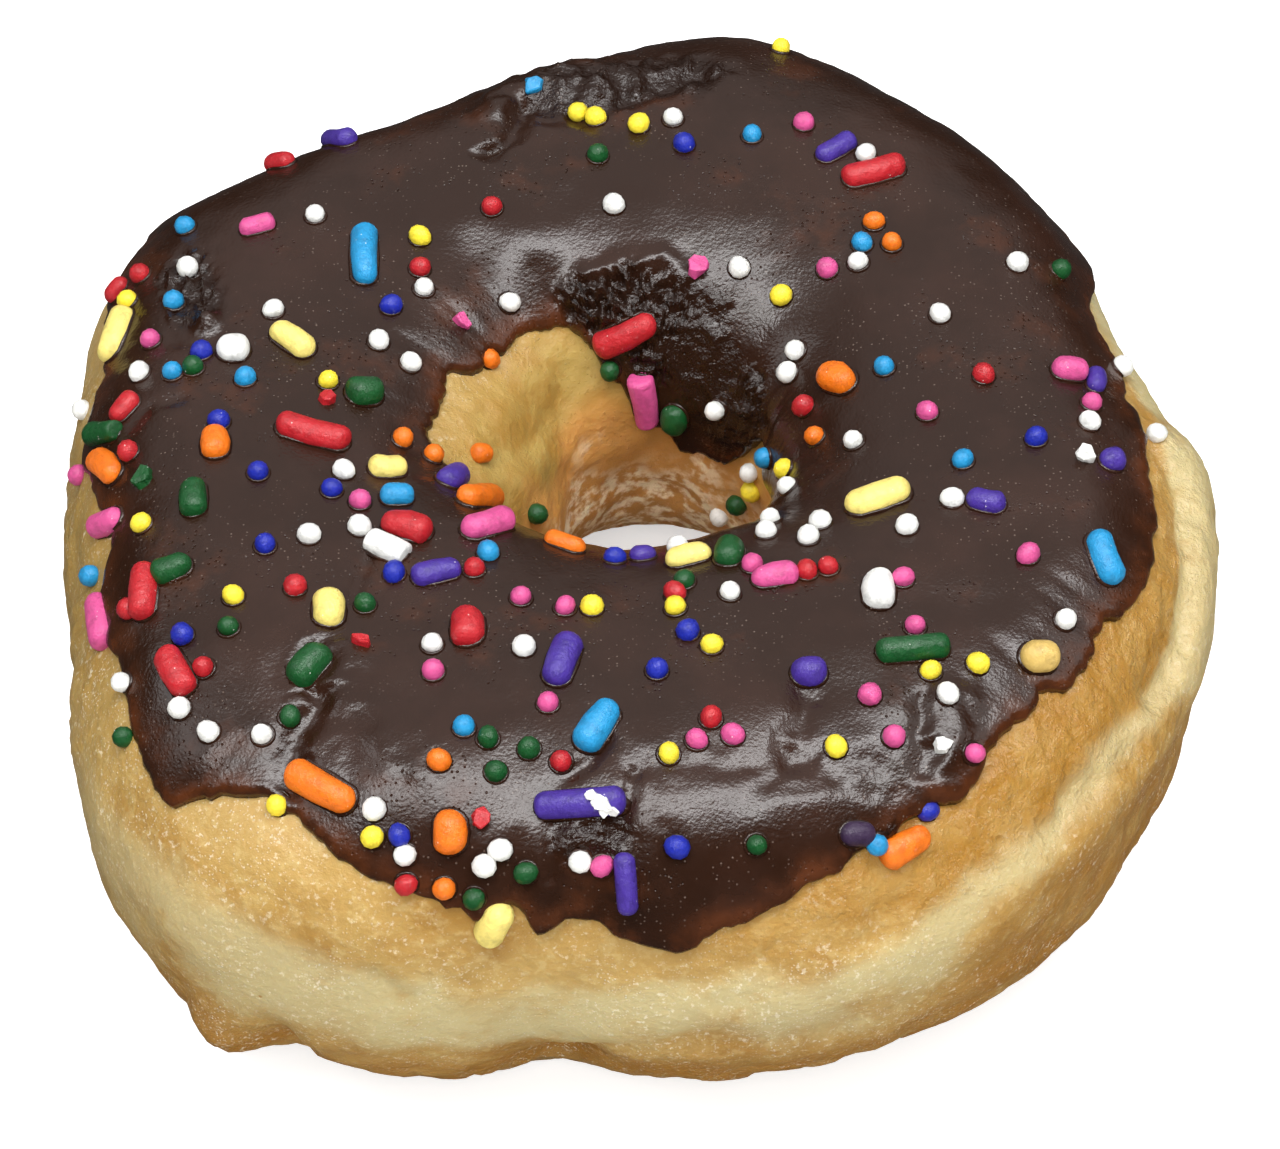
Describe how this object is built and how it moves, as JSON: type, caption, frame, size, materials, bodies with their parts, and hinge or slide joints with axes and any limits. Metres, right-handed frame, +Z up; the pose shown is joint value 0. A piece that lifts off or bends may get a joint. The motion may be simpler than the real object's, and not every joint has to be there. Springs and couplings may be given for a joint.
{
  "type": "sprinkle frosted doughnut",
  "caption": "Puffy, uneven ring doughnut of fried dough, with a draped coat of chocolate icing that carries sugar strands and pearls.",
  "frame": {"origin": "in the plane of the foot, under the middle of the doughnut's outer box", "axes": "+Z up through the hole, -Y towards the side shown nearest in the picture, +X to its right"},
  "size_m": [0.0932, 0.0976, 0.0368],
  "materials": {
    "fried_dough": "matt, browned fried dough with a pale band round its side",
    "chocolate_icing": "soft gloss of set chocolate icing",
    "sugar_sprinkles": "polished coloured sugar in many colours"
  },
  "bodies": {
    "root": {"dough": "fried_dough", "chocolate_icing": "chocolate_icing"}
  },
  "joints": []
}
